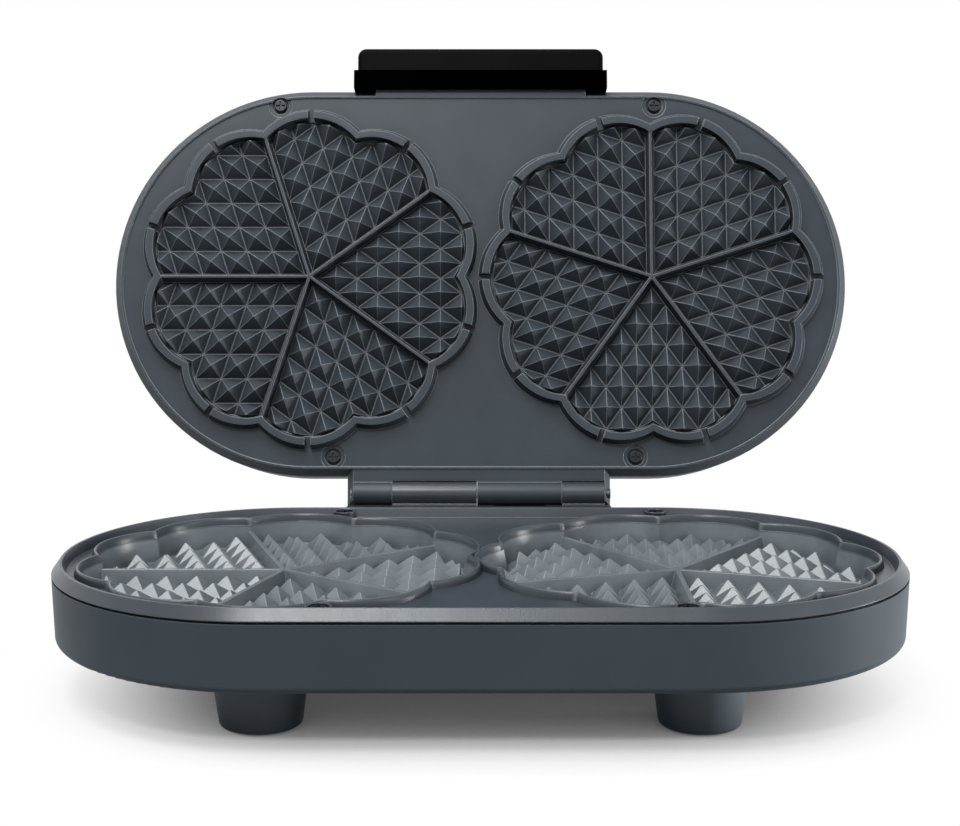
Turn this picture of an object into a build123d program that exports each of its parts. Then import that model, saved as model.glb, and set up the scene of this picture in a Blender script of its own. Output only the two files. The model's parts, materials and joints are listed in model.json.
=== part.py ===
from build123d import *
import os
from math import atan, cos, degrees, radians, sin, tan

os.makedirs("parts", exist_ok=True)

# Double waffle maker in millimetres, shown open as it stands on a table.
# Heights inside each half are measured from the parting plane, where the halves meet.

# Flower shaped moulds, five hearts with two lobes each; they set the size of both halves
heart_count = 5
lobe_count = 2 * heart_count
recess_lobe = 88.9
lobe_rise = 7.4
mould_web = 6.4
mould_margin = 12.7
flower_shift = 1.3
second_flower_turn = 18.0

# Casing halves
casing_height = 35.0
wall = 2.4
wall_draft = 1.5
casing_edge_radius = 3.0
seam_gap = 1.2
side_hole_depth = 9.6

# Rim round both cooking plates
rim_drop = 5.2
rim_inset = 3.8
ridge_width = 1.1
half_gap = 0.3
spigot_clearance = 0.5
spigot_width = 3.0
spigot_reach = 2.2

# Cooking plates
plate_thickness = 3.0
lower_flat_depth = 5.0
lower_wall_inset = 1.8
upper_flat_depth = 0.9

# Recesses of the lower plate and beads of the upper plate
recess_depth = 11.0
recess_draft = 2.0
cup_wall = 3.0
bead_overlap = 0.6
bead_width = 6.9
bead_height = 5.0
bead_flank = 2.0
bead_slope = 1.2
bead_gap = 3.0
cavity_depth = 1.5

# Hearts: dividers between them and the pyramids inside
lower_divider_width = 6.0
lower_divider_crest = 2.0
lower_divider_height = 7.8
upper_divider_width = 4.4
upper_divider_crest = 1.2
upper_divider_height = 6.0
pyramid_pitch = 13.4
pyramid_rows = 7
pyramid_start = 2.66
pyramid_valley = 0.4
pyramid_tip = 0.35
lower_pyramid_height = 6.5
upper_pyramid_height = 5.5
pyramid_margin = 6.9

# Hinge, with two knuckles on each plate
hinge_behind_edge = 8.97
hinge_rise = 4.24
knuckle_radius = 6.6
knuckle_clearance = 0.6
pin_radius = 2.5
pin_clearance = 0.05
pin_end_gap = 0.3
hinge_width = 134.9
hinge_shift = -0.85
knuckle_margin = 3.2
first_knuckle = 19.9
middle_knuckle = 43.25
knuckle_gap = 0.12
tab_trim = 0.4
hinge_root = 4.6
arm_rear = 2.6
arm_front = 5.6
arm_top = 0.5
shelf_top = 1.0
stop_bar_rear = 2.57
stop_bar_top = 3.0
stop_bar_bottom = 9.0
stop_gap = 0.3
stop_nose_width = 26.0
stop_nose_depth = 4.5
stop_nose_bottom = 8.2
wall_clearance = 0.8
open_angle = 104.67

# Screws that hold the plates to the casings, as seen from above with the lid shut
lower_screw_front = (-64.0, 82.0)
lower_screw_rear = (-68.4, 87.8)
upper_screw_front = (-105.0, 91.0)
upper_screw_rear = (-75.5, 79.5)
screw_front_margin = 8.6
screw_rear_margin = 9.7
screw_head_radius = 3.3
screw_head_height = 2.0
screw_radius = 1.7
screw_length = 12.0
screw_clearance = 0.2
screw_recess_radius = 4.4
screw_recess_depth = 2.3
lower_boss_radius = 5.4
lower_boss_top = 0.8
upper_dish_radius = 6.2
upper_dish_depth = 0.5
screw_slot = 0.9
screw_slot_length = 4.6
screw_edge_radius = 0.6
post_radius = 3.8
plate_boss_radius = 5.0

# Feet
foot_height = 24.0
foot_x = 91.2
front_foot_y = 65.0
rear_foot_y = 73.0
foot_top_radius = 19.9
foot_bottom_radius = 17.2
foot_edge_radius = 2.0
foot_wall = 2.4
foot_flare = 4.0
pad_radius = 12.5
pad_thickness = 1.6
pad_sink = 0.8
pad_chamfer = 0.3
foot_screw_radius = 1.6
foot_screw_length = 13.0
foot_screw_end_gap = 1.0
foot_boss_radius = 4.0

# Handle on the front of the lid
handle_width = 132.5
handle_mount_reach = 9.5
handle_mount_low = -3.0
handle_mount_high = 24.0
grip_width = 128.9
grip_reach = 12.6
grip_low = -1.0
grip_high = 27.0
grip_corner_radius = 4.5
grip_edge_radius = 2.5
grip_wall = 2.4
tongue_width = 110.0
handle_screw_spacing = 80.0
handle_screw_height = 16.0
grip_screw_bite = 8.0

# Heating elements, shields and electrical pieces
element_radius = 3.25
element_track = 55.0
element_end = 138.0
element_corner = 50.0
element_tail_spacing = 20.0
element_bend = 8.0
seat_gap = 0.3
clip_thickness = 1.0
clip_width = 8.0
clip_foot = 5.0
shield_margin = 12.2
shield_thickness = 0.8
shield_flange = 3.0
shield_gap = 2.2
shield_notch_width = 48.0
shield_notch_depth = 10.5
standoff_radius = 3.0
standoff_ends = ((-120.0, 0.0), (120.0, 0.0))
standoff_corners = ((-60.0, -60.0), (60.0, -60.0), (-60.0, 60.0), (60.0, 60.0))
terminal_width = 36.0
terminal_depth = 13.0
terminal_margin = 5.5
terminal_top = 18.5
terminal_pitch = 12.0
terminal_well_radius = 2.6
terminal_well_depth = 4.4
thermostat_radius = 8.0
thermostat_height = 9.0
thermostat_body_radius = 6.0
thermostat_lug_span = 25.6
thermostat_lug_width = 4.0
sensor_y = 62.0
fuse_radius = 2.2
fuse_length = 14.0
fuse_cradle_length = 7.0
fuse_cradle_width = 8.8
fuse_cradle_depth = 5.4
gland_x = 45.0
gland_depth = 20.5
gland_bore = 3.6
gland_sleeve = 6.0
gland_flange_radius = 9.0
gland_flange = 2.0
gland_reach = 6.0
gland_taper = 8.0
gland_nut_radius = 8.5
gland_nut_thickness = 3.0
lamp_spacing = 24.0
lamp_y = 60.0
lamp_radius = 4.0
lamp_flange_radius = 5.2
lamp_flange = 1.0

# Sizes that follow from the ones above
recess_cusp = recess_lobe - lobe_rise
flower_spacing = recess_lobe + recess_cusp + mould_web
bead_lobe = recess_lobe + bead_overlap
bead_cusp = bead_lobe - lobe_rise
pyramid_lobe = recess_lobe - pyramid_margin
end_radius = recess_lobe + mould_margin
straight_length = flower_spacing
wall_top = rim_drop + seam_gap
rim_height = rim_drop - half_gap
rim_slope = degrees(atan(rim_inset / rim_drop))
ridge_radius = end_radius - rim_inset * rim_height / rim_drop
well_radius = ridge_radius - ridge_width
spigot_radius = end_radius - wall - spigot_clearance
floor_depth = casing_height - wall
lower_plate_bottom = lower_flat_depth + plate_thickness
recess_floor = lower_flat_depth + recess_depth
cup_bottom = recess_floor + cup_wall
upper_plate_back = upper_flat_depth + plate_thickness
cavity_floor = upper_flat_depth + cavity_depth
cavity_back = cavity_floor + plate_thickness
upper_spigot_end = rim_drop + spigot_reach
lower_screw_seat = lower_boss_top + screw_recess_depth
upper_screw_seat = half_gap + screw_recess_depth
hinge_y = end_radius + hinge_behind_edge
hinge_left = hinge_shift - hinge_width / 2
hinge_right = hinge_shift + hinge_width / 2
lobe_step = 360.0 / lobe_count
heart_step = 360.0 / heart_count
shield_drop = 2 * (seat_gap + element_radius) + shield_gap
shield_radius = spigot_radius - shield_margin

rim_z = foot_height + casing_height

# Knuckles from left to right: lid, base, lid, base
first_start = hinge_left + knuckle_margin
second_start = first_start + first_knuckle + knuckle_gap
third_start = second_start + middle_knuckle + knuckle_gap
last_start = third_start + middle_knuckle + knuckle_gap
lid_knuckles = (
    (first_start, first_start + first_knuckle),
    (third_start, third_start + middle_knuckle),
)
base_knuckles = (
    (second_start, second_start + middle_knuckle),
    (last_start, hinge_right - knuckle_margin),
)


def screw_spots(front, rear):
    """Screw places in a plate, by their x along the front and along the rear."""
    spots = [(x, screw_front_margin - end_radius) for x in front]
    return spots + [(x, end_radius - screw_rear_margin) for x in rear]


def wall_inset(depth):
    """How far the drafted outer wall has leaned in at a depth below the parting plane."""
    return (depth - wall_top) * tan(radians(wall_draft))


def open_reach(y, z, radius):
    """How far back a rounded corner of the lid lies when the lid is open."""
    turn = radians(open_angle)
    return hinge_y + cos(turn) * (y - hinge_y) + sin(turn) * (z - hinge_rise) + radius


lower_screw_spots = screw_spots(lower_screw_front, lower_screw_rear)
upper_screw_spots = screw_spots(upper_screw_front, upper_screw_rear)
casing_corner = end_radius - wall_inset(casing_height) - casing_edge_radius
grip_front = end_radius + handle_mount_reach + grip_reach
lid_reach = open_reach(-casing_corner, casing_height - casing_edge_radius, casing_edge_radius)
grip_edge_y = grip_edge_radius - grip_front
grip_edge_z = grip_high - grip_edge_radius
handle_reach = open_reach(grip_edge_y, grip_edge_z, grip_edge_radius)
terminal_rear = end_radius - wall - wall_inset(casing_height) - terminal_margin
terminal_y = terminal_rear - terminal_depth / 2
element_tail = terminal_rear - terminal_depth - seat_gap
centre_y = (end_radius - max(lid_reach, handle_reach)) / 2

base = Plane(origin=(0, centre_y, rim_z), x_dir=(1, 0, 0), z_dir=(0, 0, 1))
base_down = Plane(origin=base.origin, x_dir=(1, 0, 0), z_dir=(0, 0, -1))
hinge_point = base.from_local_coords((0, hinge_y, hinge_rise))
lid_z = Vector(0, sin(radians(open_angle)), cos(radians(open_angle)))
lid_y = lid_z.cross(Vector(1, 0, 0))
lid_origin = hinge_point - lid_y * hinge_y - lid_z * hinge_rise
lid = Plane(origin=lid_origin, x_dir=(1, 0, 0), z_dir=lid_z)
lid_face = Plane(origin=lid_origin, x_dir=(1, 0, 0), z_dir=lid_z * -1)


def finish(piece, name):
    """Label a finished piece and write its file."""
    piece.label = name
    export_step(piece, f"parts/{name}.step")


def flipped(spots):
    """Spots as seen in a frame whose y axis runs the other way."""
    return [(x, -y) for x, y in spots]


def across(frame, x, y, z):
    """A plane square to the frame's x axis, through a point of the frame."""
    return Plane(origin=frame.from_local_coords((x, y, z)), x_dir=frame.y_dir, z_dir=frame.x_dir)


def polar(radius, angle):
    """A point at a radius and an angle in degrees."""
    return (radius * cos(radians(angle)), radius * sin(radians(angle)))


def flower(lobe, cusp):
    """A flat shape with rounded lobes between inward cusps."""
    with BuildLine() as outline:
        for index in range(lobe_count):
            start = index * lobe_step
            ThreePointArc(
                polar(cusp, start),
                polar(lobe, start + lobe_step / 2),
                polar(cusp, start + lobe_step),
            )
    return make_face(outline.edges(), mode=Mode.PRIVATE)


def flower_places(side):
    """Where the two flowers sit in a cooking face; side is -1 where y runs forwards."""
    half = flower_spacing / 2
    left = Location((-half, -side * flower_shift, 0))
    right = Location((half, -side * flower_shift, 0), (0, 0, side * second_flower_turn))
    return [left, right]


def placed(frame, places):
    """The frame's own places as places in the whole model."""
    return [frame.location * place for place in places]


def divider(length, floor, height, width, crest):
    """One straight bar between two hearts, from the flower's middle outwards."""
    slope = degrees(atan((width - crest) / 2 / height))
    with BuildPart() as bar:
        with BuildSketch(Plane.XY.offset(-floor)):
            with Locations((length / 2, 0)):
                Rectangle(length + width, width)
        extrude(amount=height, taper=slope)
    return bar.part


def pyramids(floor, height):
    """The rhombic pyramids of one heart, cut off where the flower's edge comes."""
    half_turn = radians(heart_step / 2)
    half_long = pyramid_pitch * cos(half_turn)
    half_wide = pyramid_pitch * sin(half_turn)
    inner = pyramid_pitch * sin(2 * half_turn) / 2
    shrink = 1 - pyramid_valley / 2 / inner
    slope = degrees(atan((inner * shrink - pyramid_tip) / height))
    spots = []
    for row in range(1, pyramid_rows + 1):
        for place in range(row):
            spots.append((pyramid_start + row * half_long, (2 * place - row + 1) * half_wide))
    with BuildPart() as stud:
        with BuildSketch(Plane.XY.offset(-floor)):
            Polygon(
                (half_long * shrink, 0),
                (0, half_wide * shrink),
                (-half_long * shrink, 0),
                (0, -half_wide * shrink),
            )
        extrude(amount=height, taper=slope)
    with BuildPart() as studs:
        with Locations(*spots):
            add(stud.part)
        with BuildSketch(Plane.XY.offset(-floor)):
            add(flower(pyramid_lobe, pyramid_lobe - lobe_rise))
        extrude(amount=height, mode=Mode.INTERSECT)
    return studs.part


def casing(frame):
    """An open casing half; the frame's z axis runs from the parting plane into the half."""
    depth = casing_height - wall_top
    with BuildPart() as half:
        with BuildSketch(frame.offset(wall_top)):
            SlotCenterToCenter(straight_length, 2 * end_radius)
        extrude(amount=depth, taper=wall_draft)
        outer_face = half.faces().sort_by(Axis(frame.origin, frame.z_dir))[-1]
        fillet(outer_face.edges(), casing_edge_radius)
        with BuildSketch(frame.offset(wall_top)):
            SlotCenterToCenter(straight_length, 2 * (end_radius - wall))
        extrude(amount=depth - wall, taper=wall_draft, mode=Mode.SUBTRACT)
    return half.part


def rim_blank(frame, depth):
    """A full width plate with its bevelled rim; z runs out of the cooking face."""
    with BuildPart() as blank:
        with BuildSketch(frame.offset(-rim_drop)):
            SlotCenterToCenter(straight_length, 2 * end_radius)
        extrude(amount=rim_height, taper=rim_slope)
        with BuildSketch(frame.offset(-depth)):
            SlotCenterToCenter(straight_length, 2 * spigot_radius)
        extrude(amount=depth - rim_drop)
    return blank.part


def knuckle(frame, y, z, span):
    """A hinge knuckle along the frame's x axis."""
    with BuildPart() as barrel:
        with BuildSketch(across(frame, span[0], y, z)):
            Circle(knuckle_radius)
        extrude(amount=span[1] - span[0])
    return barrel.part


def plate_screws(frame, spots, length):
    """Cross slotted pan head screws; z runs out of the head."""
    with BuildPart() as screws:
        with BuildSketch(frame):
            with Locations(*spots):
                Circle(screw_head_radius)
        extrude(amount=-screw_head_height)
        head_faces = screws.faces().sort_by(Axis(frame.origin, frame.z_dir))[-len(spots):]
        fillet(head_faces.edges(), screw_edge_radius)
        with BuildSketch(frame.offset(-screw_head_height)):
            with Locations(*spots):
                Circle(screw_radius)
        extrude(amount=-length)
        with BuildSketch(frame):
            with Locations(*spots):
                Rectangle(screw_slot_length, screw_slot)
                Rectangle(screw_slot, screw_slot_length)
        extrude(amount=-screw_head_height / 2, mode=Mode.SUBTRACT)
    return screws.part


def foot_places():
    """The four feet by name, in the base frame."""
    return {
        "front_left": (-foot_x, -front_foot_y),
        "front_right": (foot_x, -front_foot_y),
        "rear_left": (-foot_x, rear_foot_y),
        "rear_right": (foot_x, rear_foot_y),
    }


def drill_plate(frame, spots, surface, depth):
    """Recessed screw holes through a plate; call inside the plate's own block."""
    with BuildSketch(frame.offset(-surface)) as recesses:
        with Locations(*spots):
            Circle(screw_recess_radius)
    extrude(recesses.sketch, amount=-screw_recess_depth, mode=Mode.SUBTRACT)
    with BuildSketch(frame.offset(-surface)) as holes:
        with Locations(*spots):
            Circle(screw_radius + screw_clearance)
    extrude(holes.sketch, amount=-depth, mode=Mode.SUBTRACT)


# Lower mould cup, used twice
recess_mouth = flower(recess_lobe, recess_cusp)
lower_bar = divider(
    recess_cusp,
    recess_floor,
    lower_divider_height,
    lower_divider_width,
    lower_divider_crest,
)
lower_studs = pyramids(recess_floor, lower_pyramid_height)
with BuildPart() as lower_cup:
    with BuildSketch(Plane.XY.offset(-cup_bottom)):
        add(flower(recess_lobe + cup_wall, recess_cusp + cup_wall))
    extrude(amount=cup_bottom - lower_flat_depth)
    with BuildSketch(Plane.XY.offset(-recess_floor)):
        add(flower(recess_lobe - recess_draft, recess_cusp - recess_draft))
    with BuildSketch(Plane.XY.offset(-lower_flat_depth)):
        add(flower(recess_lobe, recess_cusp))
    loft(ruled=True, mode=Mode.SUBTRACT)
    with PolarLocations(0, heart_count, start_angle=heart_step / 2):
        add(lower_bar)
    with PolarLocations(0, heart_count):
        add(lower_studs, clean=False)

# Lower cooking plate with its well, two cups and the base's hinge knuckles
with BuildPart() as lower_cooking_plate:
    add(rim_blank(base, lower_plate_bottom))
    with BuildSketch(base.offset(-half_gap)):
        SlotCenterToCenter(straight_length, 2 * well_radius)
    well_depth = lower_flat_depth - half_gap
    extrude(amount=-well_depth, taper=degrees(atan(lower_wall_inset / well_depth)), mode=Mode.SUBTRACT)
    with BuildSketch(across(base, hinge_left, 0, 0)):
        Polygon(
            (ridge_radius, -shelf_top),
            (ridge_radius, -rim_drop),
            (end_radius + wall_clearance, -rim_drop),
            (end_radius + wall_clearance, -stop_bar_bottom),
            (hinge_y - stop_bar_rear, -stop_bar_bottom),
            (hinge_y - stop_bar_rear, -stop_bar_top),
            (hinge_y - arm_front, -stop_bar_top),
            (hinge_y - arm_front, -shelf_top),
            align=None,
        )
    extrude(amount=hinge_width)
    for span in base_knuckles:
        with BuildSketch(across(base, span[0], 0, 0)):
            Polygon(
                (ridge_radius, -arm_top),
                (ridge_radius, -rim_drop),
                (end_radius + wall_clearance, -rim_drop),
                (end_radius + wall_clearance, -stop_bar_bottom),
                (hinge_y + arm_rear, -stop_bar_bottom),
                (hinge_y + arm_rear, hinge_rise - hinge_root),
                (hinge_y - arm_front, hinge_rise - hinge_root + arm_top),
                (hinge_y - arm_front, -arm_top),
                align=None,
            )
        extrude(amount=span[1] - span[0])
        add(knuckle(base, hinge_y, hinge_rise, span))
    with BuildSketch(across(base, hinge_left, hinge_y, hinge_rise)):
        Circle(pin_radius + pin_clearance)
    extrude(amount=hinge_width, mode=Mode.SUBTRACT)
    with BuildSketch(base.offset(-lower_flat_depth)):
        with Locations(*lower_screw_spots):
            Circle(lower_boss_radius)
        SlotCenterToCenter(straight_length, 2 * ridge_radius, mode=Mode.INTERSECT)
    extrude(amount=lower_flat_depth - lower_boss_top)
    drill_plate(base, lower_screw_spots, lower_boss_top, lower_plate_bottom)
    with BuildSketch(base.offset(-lower_flat_depth)):
        with Locations(*flower_places(1)):
            add(recess_mouth)
    extrude(amount=-plate_thickness, mode=Mode.SUBTRACT)
    with Locations(*placed(base, flower_places(1))):
        add(lower_cup.part, clean=False)
finish(lower_cooking_plate.part, "lower_cooking_plate")

# Upper mould ring, used twice; z runs out of the upper cooking face
cavity_mouth = flower(bead_lobe - bead_width, bead_cusp - bead_width)
upper_bar = divider(
    bead_cusp - bead_width / 2,
    cavity_floor,
    upper_divider_height,
    upper_divider_width,
    upper_divider_crest,
)
upper_studs = pyramids(cavity_floor, upper_pyramid_height)
bead_top = bead_height - upper_flat_depth
with BuildPart() as upper_mould:
    with BuildSketch(Plane.XY.offset(-cavity_back)):
        add(flower(bead_lobe, bead_cusp))
    extrude(amount=cavity_back - upper_flat_depth)
    with BuildSketch(Plane.XY.offset(-upper_flat_depth)):
        add(flower(bead_lobe, bead_cusp))
    with BuildSketch(Plane.XY.offset(bead_top)):
        add(flower(bead_lobe - bead_flank, bead_cusp - bead_flank))
    loft(ruled=True)
    with BuildSketch(Plane.XY.offset(-cavity_floor)):
        add(flower(bead_lobe - bead_width, bead_cusp - bead_width))
    with BuildSketch(Plane.XY.offset(bead_top)):
        add(flower(bead_lobe - bead_width + bead_slope, bead_cusp - bead_width + bead_slope))
    loft(ruled=True, mode=Mode.SUBTRACT)
    with BuildSketch(Plane.XY.offset(-upper_flat_depth)):
        with PolarLocations(bead_lobe - bead_width / 2, lobe_count, start_angle=lobe_step / 2):
            Rectangle(2 * bead_width, bead_gap)
    extrude(amount=bead_height, mode=Mode.SUBTRACT)
    with PolarLocations(0, heart_count, start_angle=heart_step / 2):
        add(upper_bar)
    with PolarLocations(0, heart_count):
        add(upper_studs, clean=False)

# Upper cooking plate with its beads, front tongue and the lid's hinge knuckles
with BuildPart() as upper_cooking_plate:
    add(rim_blank(lid_face, upper_spigot_end))
    with BuildSketch(lid_face.offset(-half_gap)):
        SlotCenterToCenter(straight_length, 2 * well_radius)
    extrude(amount=half_gap - upper_flat_depth, mode=Mode.SUBTRACT)
    with BuildSketch(lid_face.offset(-upper_plate_back)):
        SlotCenterToCenter(straight_length, 2 * (spigot_radius - spigot_width))
    extrude(amount=upper_plate_back - upper_spigot_end, mode=Mode.SUBTRACT)
    with BuildSketch(lid_face.offset(-upper_spigot_end)):
        with Locations(*flipped(upper_screw_spots)):
            Circle(plate_boss_radius)
        SlotCenterToCenter(straight_length, 2 * spigot_radius, mode=Mode.INTERSECT)
    extrude(amount=upper_spigot_end - upper_plate_back)
    with BuildSketch(lid_face.offset(-rim_drop)):
        with Locations((0, (ridge_radius + end_radius) / 2)):
            Rectangle(tongue_width, end_radius - ridge_radius)
    extrude(amount=rim_height)
    tab_front = ridge_radius - rim_inset
    tab_rear = hinge_y + knuckle_radius - tab_trim
    with BuildSketch(lid_face.offset(-rim_drop)):
        with Locations((hinge_shift, -(tab_front + tab_rear) / 2)):
            Rectangle(hinge_width, tab_rear - tab_front)
    extrude(amount=rim_drop - upper_flat_depth, taper=rim_slope)
    for span in base_knuckles:
        with BuildSketch(across(lid_face, span[0] - knuckle_gap, -hinge_y, -hinge_rise)):
            Circle(knuckle_radius + knuckle_clearance)
            with Locations((-knuckle_radius, 0)):
                Rectangle(2 * knuckle_radius, 4 * knuckle_radius)
        extrude(amount=span[1] - span[0] + 2 * knuckle_gap, mode=Mode.SUBTRACT)
    for span in lid_knuckles:
        add(knuckle(lid_face, -hinge_y, -hinge_rise, span))
    nose_x = (lid_knuckles[1][0] + lid_knuckles[1][1] - stop_nose_width) / 2
    nose_y = hinge_y - stop_bar_rear + stop_gap
    with BuildSketch(across(base, nose_x, 0, 0)):
        Polygon(
            (nose_y, -stop_nose_bottom),
            (nose_y + stop_nose_depth, -stop_nose_bottom),
            (nose_y + stop_nose_depth, hinge_rise - knuckle_radius + pin_radius),
            (nose_y, hinge_rise - knuckle_radius + pin_radius),
            align=None,
        )
    extrude(amount=stop_nose_width)
    pin_hole_start = hinge_left + knuckle_margin / 2
    with BuildSketch(across(lid_face, pin_hole_start, -hinge_y, -hinge_rise)):
        Circle(pin_radius + pin_clearance)
    extrude(amount=hinge_width, mode=Mode.SUBTRACT)
    with BuildSketch(lid_face.offset(-upper_flat_depth)):
        with Locations(*flipped(upper_screw_spots)):
            Circle(upper_dish_radius)
        SlotCenterToCenter(straight_length, 2 * well_radius, mode=Mode.INTERSECT)
    extrude(amount=-upper_dish_depth, mode=Mode.SUBTRACT)
    drill_plate(lid_face, flipped(upper_screw_spots), half_gap, upper_spigot_end)
    with BuildSketch(lid_face.offset(-upper_flat_depth)):
        with Locations(*flower_places(-1)):
            add(cavity_mouth)
    extrude(amount=-plate_thickness, mode=Mode.SUBTRACT)
    with Locations(*placed(lid_face, flower_places(-1))):
        add(upper_mould.part, clean=False)
finish(upper_cooking_plate.part, "upper_cooking_plate")

# Hinge pin through all knuckles
with BuildPart() as hinge_pin:
    pin_start = pin_hole_start + pin_end_gap
    with BuildSketch(across(base, pin_start, hinge_y, hinge_rise)):
        Circle(pin_radius)
    extrude(amount=hinge_right - pin_start)
finish(hinge_pin.part, "hinge_pin")

# Base casing with plate posts, shield standoffs and the holes for feet and cord inlet
lower_element_depth = cup_bottom + seat_gap + element_radius
lower_shield_depth = cup_bottom + shield_drop
foot_spots = list(foot_places().values())
gland_hole = Plane(base.from_local_coords((gland_x, end_radius, -gland_depth)), z_dir=base.y_dir)
with BuildPart() as base_casing:
    add(casing(base_down))
    with BuildSketch(base_down.offset(lower_plate_bottom)):
        with Locations(*flipped(lower_screw_spots)):
            Circle(post_radius)
        SlotCenterToCenter(straight_length, 2 * spigot_radius, mode=Mode.INTERSECT)
    extrude(amount=floor_depth + wall / 2 - lower_plate_bottom)
    with BuildSketch(base_down.offset(lower_plate_bottom)):
        with Locations(*flipped(lower_screw_spots)):
            Circle(screw_radius + pin_clearance)
    extrude(amount=screw_length, mode=Mode.SUBTRACT)
    with BuildSketch(base_down.offset(lower_shield_depth + shield_thickness)):
        with Locations(*standoff_ends, *standoff_corners):
            Circle(standoff_radius)
    extrude(amount=floor_depth + wall / 2 - lower_shield_depth - shield_thickness)
    with BuildSketch(base_down.offset(floor_depth)):
        with Locations(*flipped(foot_spots)):
            Circle(foot_screw_radius + screw_clearance)
    extrude(amount=wall, mode=Mode.SUBTRACT)
    with BuildSketch(gland_hole):
        Circle(gland_sleeve + screw_clearance)
    extrude(amount=-side_hole_depth, mode=Mode.SUBTRACT)
finish(base_casing.part, "base_casing")

# Lid casing with plate posts, shield standoffs, lamp holes and handle screw holes
upper_element_depth = cavity_back + seat_gap + element_radius
upper_shield_depth = cavity_back + shield_drop
lamp_spots = ((-lamp_spacing / 2, -lamp_y), (lamp_spacing / 2, -lamp_y))
handle_screw_spots = ((-handle_screw_spacing / 2, 0), (handle_screw_spacing / 2, 0))
handle_front = Plane(
    origin=lid.from_local_coords((0, -end_radius, handle_screw_height)),
    x_dir=lid.x_dir,
    z_dir=lid.y_dir * -1,
)
with BuildPart() as lid_casing:
    add(casing(lid))
    with BuildSketch(lid.offset(upper_spigot_end)):
        with Locations(*upper_screw_spots):
            Circle(post_radius)
        SlotCenterToCenter(straight_length, 2 * spigot_radius, mode=Mode.INTERSECT)
    extrude(amount=floor_depth + wall / 2 - upper_spigot_end)
    with BuildSketch(lid.offset(upper_spigot_end)):
        with Locations(*upper_screw_spots):
            Circle(screw_radius + pin_clearance)
    extrude(amount=screw_length, mode=Mode.SUBTRACT)
    with BuildSketch(lid.offset(upper_shield_depth + shield_thickness)):
        with Locations(*standoff_ends, *standoff_corners):
            Circle(standoff_radius)
    extrude(amount=floor_depth + wall / 2 - upper_shield_depth - shield_thickness)
    with BuildSketch(lid.offset(floor_depth)):
        with Locations(*lamp_spots):
            Circle(lamp_radius + screw_clearance)
    extrude(amount=wall, mode=Mode.SUBTRACT)
    with BuildSketch(handle_front):
        with Locations(*handle_screw_spots):
            Circle(screw_radius + screw_clearance)
    extrude(amount=-side_hole_depth, mode=Mode.SUBTRACT)
finish(lid_casing.part, "lid_casing")


def heating_element(frame, depth, rear):
    """A bent tubular heater under a plate, open at the rear; z runs into the casing."""
    track = rear * element_track
    tail_x = element_tail_spacing / 2
    tail = rear * element_tail
    with BuildPart() as tube:
        with BuildLine(frame.offset(depth)) as route:
            FilletPolyline(
                (tail_x, tail),
                (tail_x, track),
                (element_end, track),
                (element_end, -track),
                (-element_end, -track),
                (-element_end, track),
                (-tail_x, track),
                (-tail_x, tail),
                radius=[element_bend] + 4 * [element_corner] + [element_bend],
            )
        start = route.wires()[0]
        with BuildSketch(Plane(start @ 0, z_dir=start % 0)):
            Circle(element_radius)
        sweep(path=start)
    return tube.part


def element_clips(frame, seat):
    """Four sheet straps that hold a heater to its plate; z runs into the casing."""
    inner = element_radius + seat_gap
    outer = inner + clip_thickness
    crown = inner + element_radius
    half = flower_spacing / 2
    with BuildPart() as clips:
        for x in (-half, half):
            for y in (-element_track, element_track):
                with BuildSketch(across(frame, x - clip_width / 2, y, seat)):
                    Polygon(
                        (-outer - clip_foot, 0),
                        (-inner, 0),
                        (-inner, crown),
                        (inner, crown),
                        (inner, 0),
                        (outer + clip_foot, 0),
                        (outer + clip_foot, clip_thickness),
                        (outer, clip_thickness),
                        (outer, crown + clip_thickness),
                        (-outer, crown + clip_thickness),
                        (-outer, clip_thickness),
                        (-outer - clip_foot, clip_thickness),
                        align=None,
                    )
                extrude(amount=clip_width)
    return clips.part


def heat_shield(frame, depth, rear):
    """A flanged sheet that keeps heat from the casing, notched for the connections."""
    with BuildPart() as sheet:
        with BuildSketch(frame.offset(depth)):
            SlotCenterToCenter(straight_length, 2 * shield_radius)
        extrude(amount=shield_thickness)
        with BuildSketch(frame.offset(depth)):
            SlotCenterToCenter(straight_length, 2 * shield_radius)
            SlotCenterToCenter(straight_length, 2 * (shield_radius - shield_thickness), mode=Mode.SUBTRACT)
        extrude(amount=-shield_flange)
        with BuildSketch(frame.offset(depth - shield_flange)):
            with Locations((0, rear * shield_radius)):
                Rectangle(shield_notch_width, 2 * shield_notch_depth)
        extrude(amount=shield_flange + shield_thickness, mode=Mode.SUBTRACT)
    return sheet.part


# Lower heater, its clips and its shield
finish(heating_element(base_down, lower_element_depth, -1), "lower_heating_element")
finish(element_clips(base_down, cup_bottom), "lower_element_clips")
finish(heat_shield(base_down, lower_shield_depth, -1), "lower_heat_shield")

# Upper heater, its clips and its shield
finish(heating_element(lid, upper_element_depth, 1), "upper_heating_element")
finish(element_clips(lid, cavity_back), "upper_element_clips")
finish(heat_shield(lid, upper_shield_depth, 1), "upper_heat_shield")

# Terminal block on the base casing's floor
with BuildPart() as terminal_block:
    with BuildSketch(base.offset(-floor_depth)):
        with Locations((0, terminal_y)):
            Rectangle(terminal_width, terminal_depth)
    extrude(amount=floor_depth - terminal_top)
    with BuildSketch(base.offset(-terminal_top)):
        with GridLocations(terminal_pitch, 0, 3, 1):
            with Locations((0, terminal_y)):
                Circle(terminal_well_radius)
    extrude(amount=-terminal_well_depth, mode=Mode.SUBTRACT)
finish(terminal_block.part, "terminal_block")

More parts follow.
